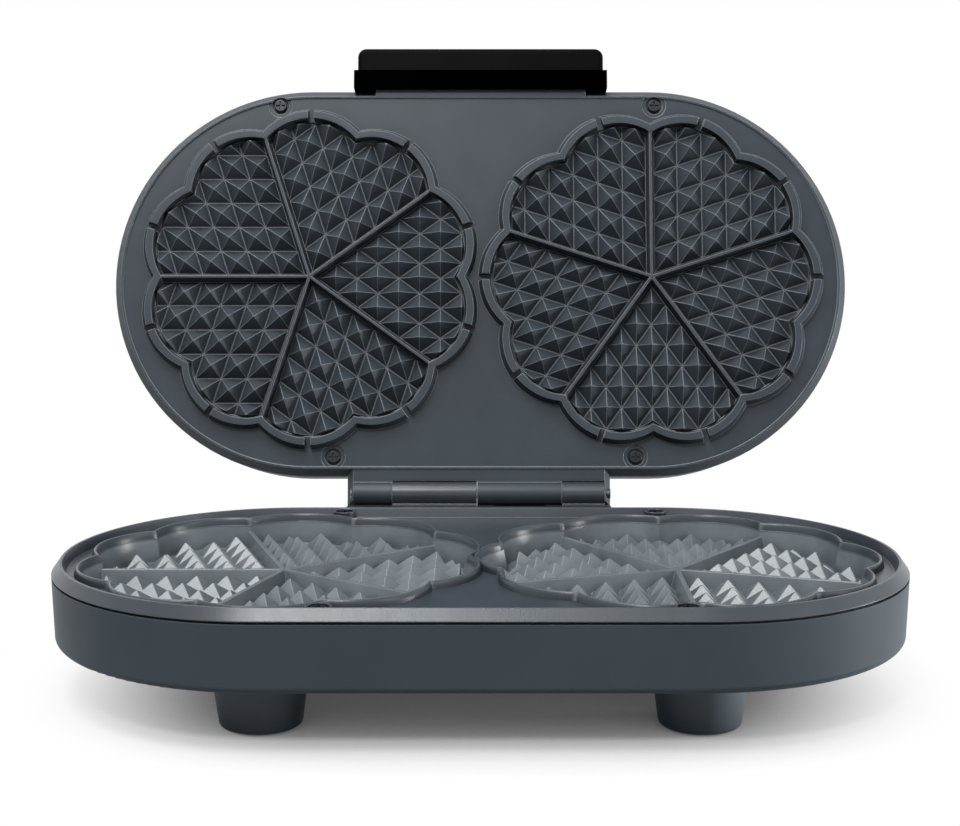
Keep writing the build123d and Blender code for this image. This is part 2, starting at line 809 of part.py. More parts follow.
# Disc thermostat under the front of the lower plate
with BuildPart() as thermostat:
    with BuildSketch(base.offset(-lower_plate_bottom)):
        with Locations((0, -sensor_y)):
            Circle(thermostat_radius)
    extrude(amount=-thermostat_height / 2)
    with BuildSketch(base.offset(-lower_plate_bottom - thermostat_height / 2)):
        with Locations((0, -sensor_y)):
            Circle(thermostat_body_radius)
    extrude(amount=-thermostat_height / 2)
    with BuildSketch(base.offset(-lower_plate_bottom)):
        with Locations((0, -sensor_y)):
            Rectangle(thermostat_lug_span, thermostat_lug_width)
    extrude(amount=-clip_thickness)
finish(thermostat.part, "thermostat")

# Thermal fuse in its cradle under the rear of the lower plate
with BuildPart() as thermal_fuse:
    with BuildSketch(across(base, -fuse_length / 2, sensor_y, -lower_plate_bottom - fuse_radius)):
        Circle(fuse_radius)
    extrude(amount=fuse_length)
    with BuildSketch(across(base, -fuse_cradle_length / 2, sensor_y, -lower_plate_bottom)):
        Rectangle(fuse_cradle_width, fuse_cradle_depth, align=(Align.CENTER, Align.MAX))
    extrude(amount=fuse_cradle_length)
finish(thermal_fuse.part, "thermal_fuse")

# Cord inlet bush in the base's rear wall, and the nut inside
gland_face = end_radius - wall_inset(gland_depth - gland_flange_radius)
gland_plane = Plane(base.from_local_coords((gland_x, gland_face, -gland_depth)), z_dir=base.y_dir)
inner_wall = gland_face - end_radius + wall + wall_inset(gland_depth + gland_nut_radius)
gland_tail = inner_wall + gland_nut_thickness + seat_gap
with BuildPart() as cord_inlet:
    with BuildSketch(gland_plane):
        Circle(gland_flange_radius)
    extrude(amount=gland_flange)
    with BuildSketch(gland_plane):
        Circle(gland_sleeve)
    extrude(amount=-gland_tail)
    with BuildSketch(gland_plane.offset(gland_flange)):
        Circle(gland_sleeve)
    extrude(amount=gland_reach, taper=gland_taper)
    with BuildSketch(gland_plane.offset(gland_flange + gland_reach)):
        Circle(gland_bore)
    extrude(amount=-gland_reach - gland_flange - gland_tail, mode=Mode.SUBTRACT)
finish(cord_inlet.part, "cord_inlet")
with BuildPart() as cord_inlet_nut:
    with BuildSketch(gland_plane.offset(-inner_wall)):
        RegularPolygon(gland_nut_radius, 6)
        Circle(gland_sleeve + pin_clearance, mode=Mode.SUBTRACT)
    extrude(amount=-gland_nut_thickness)
finish(cord_inlet_nut.part, "cord_inlet_nut")

# Feet with their pads
foot_top = casing_height
foot_bottom = casing_height + foot_height - pad_thickness + pad_sink
for name, spot in foot_places().items():
    place = Plane(base.from_local_coords((spot[0], spot[1], 0)))
    with BuildPart() as foot:
        with BuildSketch(Plane(place.origin, x_dir=(1, 0, 0), z_dir=(0, -1, 0))):
            with BuildLine():
                Polyline(
                    (0, -foot_top),
                    (foot_top_radius + foot_flare, -foot_top),
                )
                RadiusArc(
                    (foot_top_radius + foot_flare, -foot_top),
                    (foot_top_radius, -foot_top - foot_flare),
                    foot_flare,
                )
                Polyline(
                    (foot_top_radius, -foot_top - foot_flare),
                    (foot_bottom_radius, -foot_bottom),
                    (0, -foot_bottom),
                    (0, -foot_top),
                )
            make_face()
        revolve(axis=Axis(place.origin, (0, 0, 1)))
        fillet(foot.faces().sort_by(Axis.Z)[0].edges(), foot_edge_radius)
        with BuildSketch(place.offset(-foot_top)):
            Circle(foot_bottom_radius - foot_wall)
            Circle(foot_boss_radius, mode=Mode.SUBTRACT)
        extrude(amount=foot_top + foot_wall + pad_sink - foot_bottom, mode=Mode.SUBTRACT)
        with BuildSketch(place.offset(-foot_top)):
            Circle(foot_screw_radius + pin_clearance)
        extrude(amount=-foot_screw_length - foot_screw_end_gap, mode=Mode.SUBTRACT)
        with BuildSketch(place.offset(-foot_bottom)):
            Circle(pad_radius + pin_clearance)
        extrude(amount=pad_sink, mode=Mode.SUBTRACT)
    finish(foot.part, f"foot_{name}")
    with BuildPart() as pad:
        with BuildSketch(place.offset(-foot_bottom + pad_sink)):
            Circle(pad_radius)
        extrude(amount=-pad_thickness)
        chamfer(pad.faces().sort_by(Axis.Z)[0].edges(), pad_chamfer)
    finish(pad.part, f"foot_pad_{name}")

# Foot screws, driven from inside the base casing
with BuildPart() as foot_screws:
    with BuildSketch(base.offset(-floor_depth)):
        with Locations(*foot_spots):
            Circle(screw_head_radius)
    extrude(amount=screw_head_height)
    with BuildSketch(base.offset(-floor_depth)):
        with Locations(*foot_spots):
            Circle(foot_screw_radius)
    extrude(amount=-foot_screw_length)
finish(foot_screws.part, "foot_screws")

# Screws through the cooking plates
lower_screw_top = base.offset(screw_head_height - lower_screw_seat)
upper_screw_top = lid_face.offset(screw_head_height - upper_screw_seat)
finish(plate_screws(lower_screw_top, lower_screw_spots, screw_length), "lower_plate_screws")
finish(plate_screws(upper_screw_top, flipped(upper_screw_spots), screw_length), "upper_plate_screws")

# Handle mount and grip on the lid's front wall
with BuildPart() as handle_mount:
    with BuildSketch(lid.offset(handle_mount_low)):
        with Locations((0, -end_radius - handle_mount_reach / 2)):
            Rectangle(handle_width, handle_mount_reach)
    extrude(amount=handle_mount_high - handle_mount_low)
    with BuildSketch(handle_front):
        with Locations(*handle_screw_spots):
            Circle(screw_radius + screw_clearance)
    extrude(amount=handle_mount_reach, mode=Mode.SUBTRACT)
finish(handle_mount.part, "handle_mount")
grip_back_y = end_radius + handle_mount_reach
grip_back = Plane(
    origin=lid.from_local_coords((0, -grip_back_y, (grip_low + grip_high) / 2)),
    x_dir=lid.x_dir,
    z_dir=lid.y_dir * -1,
)
with BuildPart() as handle_grip:
    with BuildSketch(lid.offset(grip_low)):
        with Locations((0, -grip_back_y - grip_reach / 2)):
            Rectangle(grip_width, grip_reach)
    extrude(amount=grip_high - grip_low)
    front_edges = handle_grip.edges().filter_by(Axis(lid.origin, lid.z_dir))
    fillet(front_edges.sort_by(Axis(lid.origin, lid.y_dir))[:2], grip_corner_radius)
    outer_face = handle_grip.faces().sort_by(Axis(lid.origin, lid.y_dir))[0]
    fillet(outer_face.edges(), grip_edge_radius)
    with BuildSketch(grip_back):
        Rectangle(grip_width - 2 * grip_wall, grip_high - grip_low - 2 * grip_wall)
        with Locations(*handle_screw_spots):
            Circle(plate_boss_radius, mode=Mode.SUBTRACT)
    extrude(amount=grip_reach - grip_wall - grip_edge_radius, mode=Mode.SUBTRACT)
    with BuildSketch(handle_front.offset(handle_mount_reach)):
        with Locations(*handle_screw_spots):
            Circle(screw_radius + pin_clearance)
    extrude(amount=grip_screw_bite + seat_gap, mode=Mode.SUBTRACT)
finish(handle_grip.part, "handle_grip")

# Screws that hold the handle from inside the lid
handle_screw_seat = wall + wall_inset(handle_screw_height + screw_head_radius)
handle_screw_length = handle_screw_seat + handle_mount_reach + grip_screw_bite
with BuildPart() as handle_screws:
    with BuildSketch(handle_front.offset(-handle_screw_seat)):
        with Locations(*handle_screw_spots):
            Circle(screw_head_radius)
    extrude(amount=-screw_head_height)
    with BuildSketch(handle_front.offset(-handle_screw_seat)):
        with Locations(*handle_screw_spots):
            Circle(screw_radius)
    extrude(amount=handle_screw_length)
finish(handle_screws.part, "handle_screws")

# Lamp lenses in the lid's top
for name, spot in zip(("power_lamp_lens", "ready_lamp_lens"), lamp_spots):
    with BuildPart() as lens:
        with BuildSketch(lid.offset(casing_height)):
            with Locations(spot):
                Circle(lamp_flange_radius)
        extrude(amount=lamp_flange)
        with BuildSketch(lid.offset(casing_height)):
            with Locations(spot):
                Circle(lamp_radius)
        extrude(amount=-wall - lamp_radius / 2)
    finish(lens.part, name)
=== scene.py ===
"""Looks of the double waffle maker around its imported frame. Lengths are in metres."""
import json
import math
import bpy
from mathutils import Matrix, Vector


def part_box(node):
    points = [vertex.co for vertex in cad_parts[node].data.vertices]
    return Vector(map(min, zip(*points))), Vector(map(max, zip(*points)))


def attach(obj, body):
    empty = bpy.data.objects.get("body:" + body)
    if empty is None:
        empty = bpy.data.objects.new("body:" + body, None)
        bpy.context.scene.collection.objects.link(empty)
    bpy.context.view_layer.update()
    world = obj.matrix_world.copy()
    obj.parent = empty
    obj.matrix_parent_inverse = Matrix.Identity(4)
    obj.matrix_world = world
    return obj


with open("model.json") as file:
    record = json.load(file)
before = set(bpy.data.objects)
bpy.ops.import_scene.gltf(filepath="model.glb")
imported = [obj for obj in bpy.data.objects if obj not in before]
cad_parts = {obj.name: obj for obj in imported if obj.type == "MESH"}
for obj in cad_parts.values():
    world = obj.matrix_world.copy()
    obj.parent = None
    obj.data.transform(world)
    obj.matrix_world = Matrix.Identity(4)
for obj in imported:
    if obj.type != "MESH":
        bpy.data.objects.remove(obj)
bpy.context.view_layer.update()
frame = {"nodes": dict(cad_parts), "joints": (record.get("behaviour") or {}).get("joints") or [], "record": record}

MM = 0.001

# Camera, fitted to the outlines of the open lid and of the base, from the base's middle
CAMERA_LENS = 63.45
CAMERA_BACK = 743.07 * MM
CAMERA_RISE = 171.9 * MM
CAMERA_DOWN = math.radians(8.38)
CAMERA_SHIFT = -0.5 / 960
HINGE_RISE = 4.24 * MM

# Outline of a lower mould, as in the CAD part
LOBES = 10
LOBE_REACH = 88.9 * MM
CUSP_REACH = 81.5 * MM
FLOWER_SPACING = 176.8 * MM
FLOWER_SHIFT = 1.3 * MM
SECOND_TURN = math.radians(18)
LOBE_STEPS = 24

# Section of a mould's raised lip, as outset and height from the parting plane in millimetres
LIP_SECTION = (
    (0.0, -5.3), (0.35, -3.4), (0.75, -2.0), (1.2, -1.45),
    (1.7, -1.4), (2.2, -1.9), (2.7, -3.3), (3.1, -5.2),
)

# Colours, linear
SLATE_DARK = (0.039, 0.051, 0.063)
SLATE_LIGHT = (0.049, 0.063, 0.077)
# Painted highlight along the coat's edges
SLATE_EDGE_HIGHLIGHT = (0.330, 0.365, 0.390)
# Lighter colour of the lower moulds, painted light
MOULD_PAINTED_LIT_DARK = (0.140, 0.166, 0.186)
MOULD_PAINTED_LIT_LIGHT = (0.190, 0.220, 0.243)
# Painted highlight along the moulds' edges
MOULD_EDGE_HIGHLIGHT = (0.300, 0.335, 0.360)
CASING_DARK = (0.071, 0.092, 0.110)
CASING_LIGHT = (0.082, 0.105, 0.124)
# Painted highlight along the casing's edges
CASING_EDGE_HIGHLIGHT = (0.105, 0.130, 0.150)
FOOT_DARK = (0.165, 0.208, 0.246)
FOOT_LIGHT = (0.190, 0.238, 0.280)
FOOT_EDGE = (0.120, 0.150, 0.175)
# Painted shade: how dark the feet become towards the table
FOOT_SHADE = (0.32, 0.32, 0.32)
BLACK_DARK = (0.0010, 0.0010, 0.0010)
BLACK_LIGHT = (0.0025, 0.0025, 0.0025)
# Painted highlight along the black mouldings' edges
BLACK_EDGE_HIGHLIGHT = (0.013, 0.013, 0.013)
# Painted shade: a darker copy of the black moulding for the handle mount
MOUNT_SHADE_DARK = (0.0002, 0.0002, 0.0002)
MOUNT_SHADE_LIGHT = (0.0006, 0.0006, 0.0006)
SCREW_DARK = (0.008, 0.009, 0.011)
SCREW_LIGHT = (0.022, 0.025, 0.029)
RUBBER_DARK = (0.006, 0.006, 0.006)
RUBBER_LIGHT = (0.014, 0.014, 0.014)
PIN_DARK = (0.060, 0.066, 0.072)
PIN_LIGHT = (0.110, 0.118, 0.126)
STEEL_DARK = (0.28, 0.28, 0.29)
STEEL_LIGHT = (0.42, 0.42, 0.43)
SHEATH_DARK = (0.10, 0.09, 0.08)
SHEATH_LIGHT = (0.20, 0.18, 0.16)
CERAMIC_DARK = (0.62, 0.60, 0.54)
CERAMIC_LIGHT = (0.74, 0.72, 0.66)
RED_DARK = (0.22, 0.012, 0.008)
RED_LIGHT = (0.40, 0.020, 0.014)
GREEN_DARK = (0.010, 0.10, 0.022)
GREEN_LIGHT = (0.018, 0.19, 0.04)

# Where the lower moulds' lighter colour, painted light, starts below the parting plane, and how it shines
MOULD_TOP = (-5.9 * MM, -5.1 * MM)
MOULD_SHINE = (0.45, 0.65)

# Levels above the table between which painted shade darkens the feet
FOOT_SHADE_LOW = 2 * MM
FOOT_SHADE_HIGH = 22 * MM

# Painted shade in hollows: reach, least brightness and curve
COAT_HOLLOWS = (9 * MM, 0.36, 1.2)
LOWER_HOLLOWS = (7 * MM, 0.45, 1.2)

# Painted highlights along edges, darker lines on the feet: radius, match of directions at full and at no effect,
# and strength
CASING_EDGES = (0.5 * MM, 0.75, 0.99, 0.6)
FOOT_EDGES = (0.6 * MM, 0.75, 0.99, 0.5)
BLACK_EDGES = (0.5 * MM, 0.75, 0.99)
COAT_EDGES = (0.55 * MM, 0.91, 0.995, 0.9)
LOWER_EDGES = (0.4 * MM, 0.85, 0.99, 0.6)
COAT_ROUNDING = 0.9 * MM
LOWER_ROUNDING = 0.6 * MM

# Lights: name, place, aim, size and power in watts
LIGHTS = (
    ("overhead", (-0.35, -0.25, 1.4), (0.0, -0.05, 0.1), (0.8, 0.36), 11),
    ("key", (-0.3, -1.15, 1.5), (0.0, 0.05, 0.15), (0.4, 0.3), 15.5),
    ("fill", (1.5, -0.8, 0.9), (0.0, 0.0, 0.1), (0.6, 0.6), 3),
    ("side", (1.3, -0.05, 0.08), (0.19, -0.05, 0.045), (0.3, 0.1), 11),
)

# Surroundings
WHITE = (1.0, 1.0, 1.0, 1.0)
FLOOR_SIZE = 12
WORLD_HORIZON = 0.07
WORLD_TOP = 0.22
FLOOR_BOUNCE = (0.13, 0.13, 0.13, 1)
FLOOR_SEEN = (0.36, 0.35, 0.36, 1)
# Painted shadow: the floor's glow strength when closed in and when open, and the reach over which other faces dim
# it
FLOOR_GLOW_WITH_PAINTED_SHADOW = (0.03, 0.84)
FLOOR_PAINTED_SHADOW_REACH = 0.18
FLOOR_FADE = (0.10, 0.23)
FLOOR_STRETCH = (1.0, 0.85, 0.0)

# Samples of the softened edges and of the shading by near faces
BEVEL_SAMPLES = 6
HOLLOW_SAMPLES = 8
FLOOR_SAMPLES = 12


def ramp(tree, factor, dark, light, low=0.35, high=0.65):
    """A two colour ramp between two values of a factor."""
    node = tree.nodes.new("ShaderNodeValToRGB")
    node.color_ramp.elements[0].position = low
    node.color_ramp.elements[0].color = (*dark, 1)
    node.color_ramp.elements[1].position = high
    node.color_ramp.elements[1].color = (*light, 1)
    tree.links.new(factor, node.inputs["Fac"])
    return node.outputs["Color"]


def noise(tree, scale, detail=3.0, rough=0.55):
    """Noise over the piece's own coordinates."""
    place = tree.nodes.new("ShaderNodeTexCoord")
    node = tree.nodes.new("ShaderNodeTexNoise")
    node.inputs["Scale"].default_value = scale
    node.inputs["Detail"].default_value = detail
    node.inputs["Roughness"].default_value = rough
    tree.links.new(place.outputs["Object"], node.inputs["Vector"])
    return node.outputs["Fac"]


def remap(tree, factor, low, high):
    """A factor from 0 to 1 spread between two values."""
    node = tree.nodes.new("ShaderNodeMapRange")
    node.inputs["To Min"].default_value = low
    node.inputs["To Max"].default_value = high
    tree.links.new(factor, node.inputs["Value"])
    return node.outputs["Result"]


def mixed(tree, factor, first, second, blend="MIX"):
    """Two colours mixed by a factor."""
    node = tree.nodes.new("ShaderNodeMix")
    node.data_type = "RGBA"
    node.blend_type = blend
    for value, socket in ((factor, node.inputs[0]), (first, node.inputs[6]), (second, node.inputs[7])):
        if isinstance(value, tuple):
            socket.default_value = (*value, 1)
        elif isinstance(value, float):
            socket.default_value = value
        else:
            tree.links.new(value, socket)
    return node.outputs[2]


def surface(name, dark, light, patch, roughness, grain, depth, metallic=0.0, specular=0.5):
    """A finish with soft patches of colour, uneven gloss and a fine grain."""
    material = bpy.data.materials.new(name)
    material.use_nodes = True
    tree = material.node_tree
    shader = tree.nodes["Principled BSDF"]
    shader.inputs["Metallic"].default_value = metallic
    shader.inputs["Specular IOR Level"].default_value = specular
    cloud = noise(tree, patch)
    tree.links.new(ramp(tree, cloud, dark, light), shader.inputs["Base Color"])
    gloss = noise(tree, patch * 3)
    tree.links.new(remap(tree, gloss, *roughness), shader.inputs["Roughness"])
    bump = tree.nodes.new("ShaderNodeBump")
    bump.inputs["Distance"].default_value = depth
    tree.links.new(noise(tree, grain, 2.0), bump.inputs["Height"])
    tree.links.new(bump.outputs["Normal"], shader.inputs["Normal"])
    return material


def rounded_normal(tree, radius):
    """The surface direction with its edges softened over a radius."""
    node = tree.nodes.new("ShaderNodeBevel")
    node.samples = BEVEL_SAMPLES
    node.inputs["Radius"].default_value = radius
    return node


def soften(material, radius):
    """A softer rounding of the light along a piece's edges."""
    tree = material.node_tree
    bump = tree.nodes["Principled BSDF"].inputs["Normal"].links[0].from_node
    tree.links.new(rounded_normal(tree, radius).outputs["Normal"], bump.inputs["Normal"])


def paint_light_in_moulds(material, dark, light, parting):
    """Painted light: a lighter colour inside the moulds, below the flat part of the plate, with a glossier finish
    there.
    """
    tree = material.node_tree
    shader = tree.nodes["Principled BSDF"]
    shape = tree.nodes.new("ShaderNodeNewGeometry")
    split = tree.nodes.new("ShaderNodeSeparateXYZ")
    tree.links.new(shape.outputs["Position"], split.inputs[0])
    inside = tree.nodes.new("ShaderNodeMapRange")
    inside.inputs["From Min"].default_value = parting + MOULD_TOP[1]
    inside.inputs["From Max"].default_value = parting + MOULD_TOP[0]
    tree.links.new(split.outputs["Z"], inside.inputs["Value"])
    colour = shader.inputs["Base Color"].links[0].from_socket
    bright = ramp(tree, noise(tree, 45), dark, light)
    tree.links.new(mixed(tree, inside.outputs["Result"], colour, bright), shader.inputs["Base Color"])
    tree.links.new(remap(tree, inside.outputs["Result"], *MOULD_SHINE), shader.inputs["Specular IOR Level"])


def shade_down(material, shade, low, high):
    """Painted shade: a colour that darkens from a higher level down to a lower one."""
    tree = material.node_tree
    shader = tree.nodes["Principled BSDF"]
    shape = tree.nodes.new("ShaderNodeNewGeometry")
    split = tree.nodes.new("ShaderNodeSeparateXYZ")
    tree.links.new(shape.outputs["Position"], split.inputs[0])
    down = tree.nodes.new("ShaderNodeMapRange")
    down.inputs["From Min"].default_value = high
    down.inputs["From Max"].default_value = low
    tree.links.new(split.outputs["Z"], down.inputs["Value"])
    colour = shader.inputs["Base Color"].links[0].from_socket
    darker = mixed(tree, down.outputs["Result"], (1.0, 1.0, 1.0), shade)
    tree.links.new(mixed(tree, 1.0, colour, darker, "MULTIPLY"), shader.inputs["Base Color"])


def painted_edge_lines(material, edge, radius, low, high, strength=1.0):
    """Painted highlights as lighter lines, and a slight rounding of the shading, where a piece's faces meet; an
    edge colour darker than the piece gives darker lines.
    """
    tree = material.node_tree
    shader = tree.nodes["Principled BSDF"]
    rounded = rounded_normal(tree, radius)
    shape = tree.nodes.new("ShaderNodeNewGeometry")
    match = tree.nodes.new("ShaderNodeVectorMath")
    match.operation = "DOT_PRODUCT"
    tree.links.new(rounded.outputs["Normal"], match.inputs[0])
    tree.links.new(shape.outputs["True Normal"], match.inputs[1])
    spread = tree.nodes.new("ShaderNodeMapRange")
    spread.inputs["From Min"].default_value = high
    spread.inputs["From Max"].default_value = low
    spread.inputs["To Max"].default_value = strength
    tree.links.new(match.outputs["Value"], spread.inputs["Value"])
    colour = shader.inputs["Base Color"].links[0].from_socket
    tree.links.new(mixed(tree, spread.outputs["Result"], colour, edge), shader.inputs["Base Color"])
    bump = shader.inputs["Normal"].links[0].from_node
    tree.links.new(rounded.outputs["Normal"], bump.inputs["Normal"])
    return material


def shade_hollows(material, reach, dark, gamma=1.0):
    """Painted shade: darker colour where other faces stand close."""
    tree = material.node_tree
    shader = tree.nodes["Principled BSDF"]
    open_sky = tree.nodes.new("ShaderNodeAmbientOcclusion")
    open_sky.samples = HOLLOW_SAMPLES
    open_sky.inputs["Distance"].default_value = reach
    bend = tree.nodes.new("ShaderNodeMath")
    bend.operation = "POWER"
    bend.inputs[1].default_value = gamma
    tree.links.new(open_sky.outputs["AO"], bend.inputs[0])
    spread = remap(tree, bend.outputs[0], dark, 1.0)
    grey = tree.nodes.new("ShaderNodeCombineColor")
    for channel in ("Red", "Green", "Blue"):
        tree.links.new(spread, grey.inputs[channel])
    colour = shader.inputs["Base Color"].links[0].from_socket
    tree.links.new(mixed(tree, 1.0, colour, grey.outputs["Color"], "MULTIPLY"), shader.inputs["Base Color"])
    return material


def finish_table():
    """The finish of each material slot of the record."""
    steel = surface("zinc_steel", STEEL_DARK, STEEL_LIGHT, 60, (0.3, 0.45), 900, 0.02 * MM, 1.0)
    sheath = surface("heater_sheath", SHEATH_DARK, SHEATH_LIGHT, 40, (0.35, 0.5), 900, 0.02 * MM, 1.0)
    shield = surface("shield_sheet", STEEL_DARK, STEEL_LIGHT, 20, (0.25, 0.4), 700, 0.02 * MM, 1.0)
    ceramic = surface("terminal_ceramic", CERAMIC_DARK, CERAMIC_LIGHT, 50, (0.5, 0.6), 900, 0.03 * MM)
    screw = surface("coated_screw", SCREW_DARK, SCREW_LIGHT, 60, (0.3, 0.45), 900, 0.02 * MM, 0.4)
    casing = surface("slate_casing", CASING_DARK, CASING_LIGHT, 14, (0.42, 0.55), 2400, 0.03 * MM, 0.0, 0.14)
    coat = surface("slate_coat", SLATE_DARK, SLATE_LIGHT, 30, (0.36, 0.46), 1500, 0.04 * MM, 0.0, 0.28)
    foot = surface("foot_moulding", FOOT_DARK, FOOT_LIGHT, 30, (0.45, 0.6), 2400, 0.03 * MM, 0.0, 0.3)
    black = surface("black_moulding", BLACK_DARK, BLACK_LIGHT, 20, (0.4, 0.5), 2400, 0.03 * MM, 0.0, 0.03)
    # Painted highlights along edges; the feet get darker edge lines
    painted_edge_lines(casing, CASING_EDGE_HIGHLIGHT, *CASING_EDGES)
    painted_edge_lines(foot, FOOT_EDGE, *FOOT_EDGES)
    # Painted shade: the feet darken towards the table
    shade_down(foot, FOOT_SHADE, FOOT_SHADE_LOW, FOOT_SHADE_HIGH)
    painted_edge_lines(black, BLACK_EDGE_HIGHLIGHT, *BLACK_EDGES)
    # Painted shade in the coat's hollows
    shade_hollows(coat, *COAT_HOLLOWS)
    painted_edge_lines(coat, SLATE_EDGE_HIGHLIGHT, *COAT_EDGES)
    soften(coat, COAT_ROUNDING)
    return {
        "casing": casing,
        "cooking_plate": coat,
        "foot": foot,
        "foot_pad": surface("pad_rubber", RUBBER_DARK, RUBBER_LIGHT, 60, (0.7, 0.85), 1800, 0.06 * MM),
        "handle": black,
        "element_sheath": sheath,
        "heat_shield": shield,
        "terminal_block": ceramic,
        "cord_inlet": surface("inlet_nylon", BLACK_DARK, BLACK_LIGHT, 40, (0.4, 0.5), 1500, 0.03 * MM),
        "red_lens": surface("red_lens", RED_DARK, RED_LIGHT, 80, (0.08, 0.15), 300, 0.01 * MM),
        "green_lens": surface("green_lens", GREEN_DARK, GREEN_LIGHT, 80, (0.08, 0.15), 300, 0.01 * MM),
        "sensor": steel,
        "hinge_pin": surface("pin_steel", PIN_DARK, PIN_LIGHT, 60, (0.35, 0.5), 900, 0.02 * MM, 0.6),
        "fastener": screw,
    }


def special_finishes():
    """Finishes of single parts that differ from the rest of their slot."""
    lower = surface("lower_coat", SLATE_DARK, SLATE_LIGHT, 30, (0.27, 0.36), 1500, 0.04 * MM, 0.0, 0.5)
    # Painted light: a lighter colour inside the moulds
    paint_light_in_moulds(lower, MOULD_PAINTED_LIT_DARK, MOULD_PAINTED_LIT_LIGHT, parting_height())
    # Painted shade in the lower plate's hollows
    shade_hollows(lower, *LOWER_HOLLOWS)
    # Painted highlights along the lower plate's edges
    painted_edge_lines(lower, MOULD_EDGE_HIGHLIGHT, *LOWER_EDGES)
    soften(lower, LOWER_ROUNDING)
    # Painted shade: the handle mount is a darker copy of the black moulding
    mount_shade = surface("mount_moulding", MOUNT_SHADE_DARK, MOUNT_SHADE_LIGHT, 20, (0.5, 0.6), 2400, 0.03 * MM, 0.0, 0.0)
    return {"lower_cooking_plate": lower, "handle_mount": mount_shade}


def dress_frame():
    """Give every part of the frame its finish, and add the lips in the lower plate's."""
    finishes = finish_table()
    special = special_finishes()
    for entry in frame["record"]["subparts"]:
        part = frame["nodes"][entry["node"]]
        part.data.materials.clear()
        part.data.materials.append(special.get(entry["node"]) or finishes[entry["material_slot"]])
    make_lips(special["lower_cooking_plate"])


def parting_height():
    """The level at which the two halves meet."""
    return frame["joints"][0]["pos_m"][2] - HINGE_RISE


def flower_points(outset, turn):
    """Points round a mould's outline, moved outwards by an outset."""
    half = math.pi / LOBES
    lobe = LOBE_REACH + outset
    cusp = CUSP_REACH + outset
    along = cusp * math.cos(half)
    across = cusp * math.sin(half)
    middle = (lobe ** 2 - cusp ** 2) / (2 * (lobe - along))
    sweep = math.atan2(across, along - middle)
    points = []
    for lobe_index in range(LOBES):
        axis = turn + (2 * lobe_index + 1) * half
        for step in range(LOBE_STEPS):
            angle = sweep * (2 * step / LOBE_STEPS - 1)
            x = middle + (lobe - middle) * math.cos(angle)
            y = (lobe - middle) * math.sin(angle)
            points.append((x * math.cos(axis) - y * math.sin(axis), x * math.sin(axis) + y * math.cos(axis)))
    return points


def make_lips(finish):
    """The raised lips round the two lower moulds."""
    low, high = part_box("base_casing")
    middle = (low[1] + high[1]) / 2 - FLOWER_SHIFT
    for name, x, turn in (("left", -FLOWER_SPACING / 2, 0.0), ("right", FLOWER_SPACING / 2, SECOND_TURN)):
        rings = [(flower_points(outset * MM, turn), height * MM) for outset, height in LIP_SECTION]
        points = [(px, py, height) for ring, height in rings for px, py in ring]
        count = LOBES * LOBE_STEPS
        faces = []
        for ring in range(len(rings) - 1):
            for step in range(count):
                after = (step + 1) % count
                start = ring * count
                faces.append((start + step, start + after, start + count + after, start + count + step))
        mesh = bpy.data.meshes.new(name + "_mould_lip")
        mesh.from_pydata(points, [], faces)
        mesh.shade_smooth()
        mesh.materials.append(finish)
        lip = bpy.data.objects.new(name + "_mould_lip", mesh)
        bpy.context.scene.collection.objects.link(lip)
        lip.location = (x, middle, parting_height())
        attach(lip, "base")


def white_to_viewer(tree, seen, base):
    """Mix in plain white where a camera, mirror or glass ray arrives."""
    path = tree.nodes.new("ShaderNodeLightPath")
    first = tree.nodes.new("ShaderNodeMath")
    first.operation = "MAXIMUM"
    tree.links.new(path.outputs["Is Camera Ray"], first.inputs[0])
    tree.links.new(path.outputs["Is Glossy Ray"], first.inputs[1])
    either = tree.nodes.new("ShaderNodeMath")
    either.operation = "MAXIMUM"
    tree.links.new(first.outputs[0], either.inputs[0])
    tree.links.new(path.outputs["Is Transmission Ray"], either.inputs[1])
    mix = tree.nodes.new("ShaderNodeMixShader")
    tree.links.new(either.outputs[0], mix.inputs[0])
    tree.links.new(base, mix.inputs[1])
    tree.links.new(seen, mix.inputs[2])
    return mix.outputs[0]


def make_world():
    """Dim surroundings that brighten overhead, plain white to the viewer."""
    world = bpy.data.worlds.new("studio")
    bpy.context.scene.world = world
    world.use_nodes = True
    tree = world.node_tree
    place = tree.nodes.new("ShaderNodeTexCoord")
    split = tree.nodes.new("ShaderNodeSeparateXYZ")
    tree.links.new(place.outputs["Generated"], split.inputs[0])
    soft = tree.nodes["Background"]
    soft.inputs["Color"].default_value = WHITE
    tree.links.new(remap(tree, split.outputs["Z"], WORLD_HORIZON, WORLD_TOP), soft.inputs["Strength"])
    white = tree.nodes.new("ShaderNodeBackground")
    white.inputs["Color"].default_value = WHITE
    both = white_to_viewer(tree, white.outputs[0], soft.outputs[0])
    tree.links.new(both, tree.nodes["World Output"].inputs["Surface"])


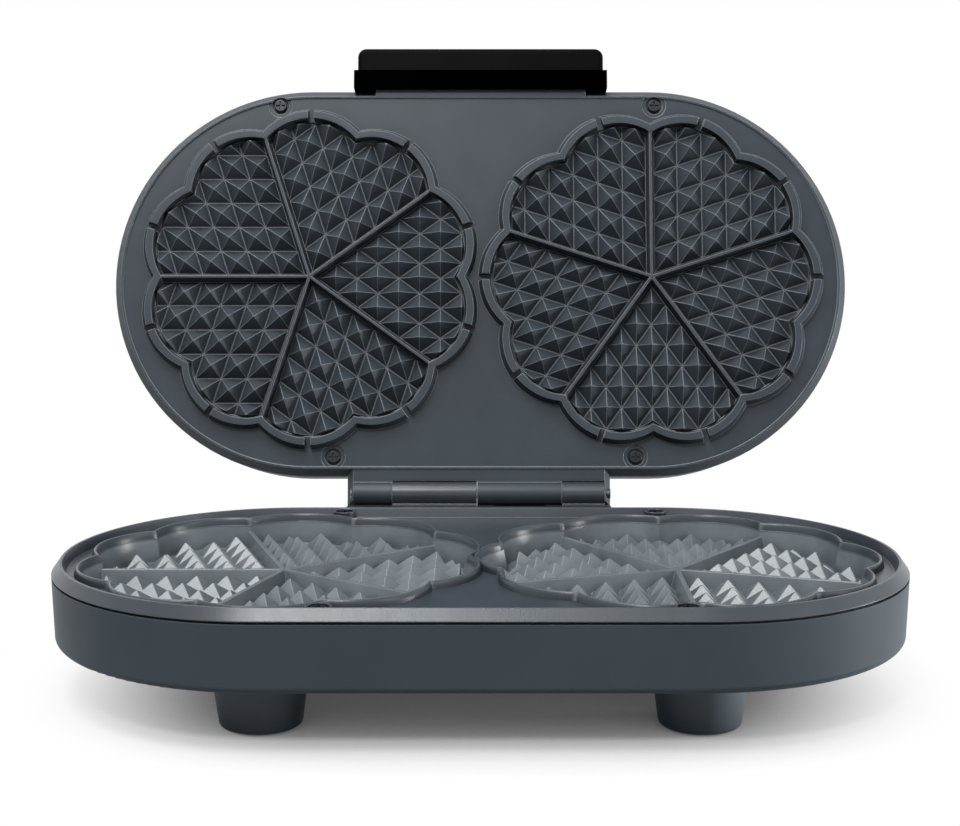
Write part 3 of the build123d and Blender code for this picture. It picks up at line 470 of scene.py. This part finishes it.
def make_floor():
    """A plain pale floor that fades to white; its shadow is partly real and partly painted, a glow that dims where
    other faces stand close.
    """
    bpy.ops.mesh.primitive_plane_add(size=FLOOR_SIZE)
    floor = bpy.context.object
    floor.name = "floor"
    material = bpy.data.materials.new("pale_floor")
    material.use_nodes = True
    tree = material.node_tree
    shader = tree.nodes["Principled BSDF"]
    shader.inputs["Base Color"].default_value = FLOOR_BOUNCE
    shader.inputs["Roughness"].default_value = 0.9
    shader.inputs["Specular IOR Level"].default_value = 0.0
    pale = tree.nodes.new("ShaderNodeBsdfDiffuse")
    pale.inputs["Color"].default_value = FLOOR_SEEN
    glow_with_painted_shadow = tree.nodes.new("ShaderNodeEmission")
    # Painted shadow: the glow dims where other faces stand close
    open_sky = tree.nodes.new("ShaderNodeAmbientOcclusion")
    open_sky.samples = FLOOR_SAMPLES
    open_sky.inputs["Distance"].default_value = FLOOR_PAINTED_SHADOW_REACH
    tree.links.new(remap(tree, open_sky.outputs["AO"], *FLOOR_GLOW_WITH_PAINTED_SHADOW), glow_with_painted_shadow.inputs["Strength"])
    lit = tree.nodes.new("ShaderNodeAddShader")
    tree.links.new(pale.outputs[0], lit.inputs[0])
    tree.links.new(glow_with_painted_shadow.outputs[0], lit.inputs[1])
    place = tree.nodes.new("ShaderNodeTexCoord")
    low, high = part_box("base_casing")
    shift = tree.nodes.new("ShaderNodeVectorMath")
    shift.operation = "ADD"
    shift.inputs[1].default_value = (0.0, -(low[1] + high[1]) / 2, 0.0)
    tree.links.new(place.outputs["Object"], shift.inputs[0])
    stretch = tree.nodes.new("ShaderNodeVectorMath")
    stretch.operation = "MULTIPLY"
    stretch.inputs[1].default_value = FLOOR_STRETCH
    tree.links.new(shift.outputs["Vector"], stretch.inputs[0])
    away = tree.nodes.new("ShaderNodeVectorMath")
    away.operation = "LENGTH"
    tree.links.new(stretch.outputs["Vector"], away.inputs[0])
    fade = tree.nodes.new("ShaderNodeMapRange")
    fade.interpolation_type = "SMOOTHSTEP"
    fade.inputs["From Min"].default_value = FLOOR_FADE[0]
    fade.inputs["From Max"].default_value = FLOOR_FADE[1]
    tree.links.new(away.outputs["Value"], fade.inputs["Value"])
    white = tree.nodes.new("ShaderNodeEmission")
    seen = tree.nodes.new("ShaderNodeMixShader")
    tree.links.new(fade.outputs["Result"], seen.inputs[0])
    tree.links.new(lit.outputs[0], seen.inputs[1])
    tree.links.new(white.outputs[0], seen.inputs[2])
    both = white_to_viewer(tree, seen.outputs[0], shader.outputs[0])
    tree.links.new(both, tree.nodes["Material Output"].inputs["Surface"])
    floor.data.materials.append(material)


def make_light(name, place, aim, size, power):
    """A rectangular soft light turned towards a point."""
    data = bpy.data.lights.new(name, "AREA")
    data.shape = "RECTANGLE"
    data.size, data.size_y = size
    data.energy = power
    lamp = bpy.data.objects.new(name, data)
    bpy.context.scene.collection.objects.link(lamp)
    lamp.location = place
    turn = (Vector(aim) - lamp.location).to_track_quat("-Z", "Y")
    lamp.rotation_euler = turn.to_euler()


def make_lights():
    """A wide light overhead, a key high in front, a weak right fill and a low light from the right side."""
    for light in LIGHTS:
        make_light(*light)


def make_camera():
    """The photograph's viewing angle."""
    low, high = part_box("base_casing")
    middle = (low[1] + high[1]) / 2
    data = bpy.data.cameras.new("camera")
    data.lens = CAMERA_LENS
    data.shift_x = CAMERA_SHIFT
    camera = bpy.data.objects.new("camera", data)
    bpy.context.scene.collection.objects.link(camera)
    camera.location = (0.0, middle - CAMERA_BACK, parting_height() + CAMERA_RISE)
    camera.rotation_euler = (math.pi / 2 - CAMERA_DOWN, 0, 0)
    bpy.context.scene.camera = camera


make_camera()
make_world()
make_floor()
make_lights()
dress_frame()
bpy.context.scene.view_settings.view_transform = "Standard"
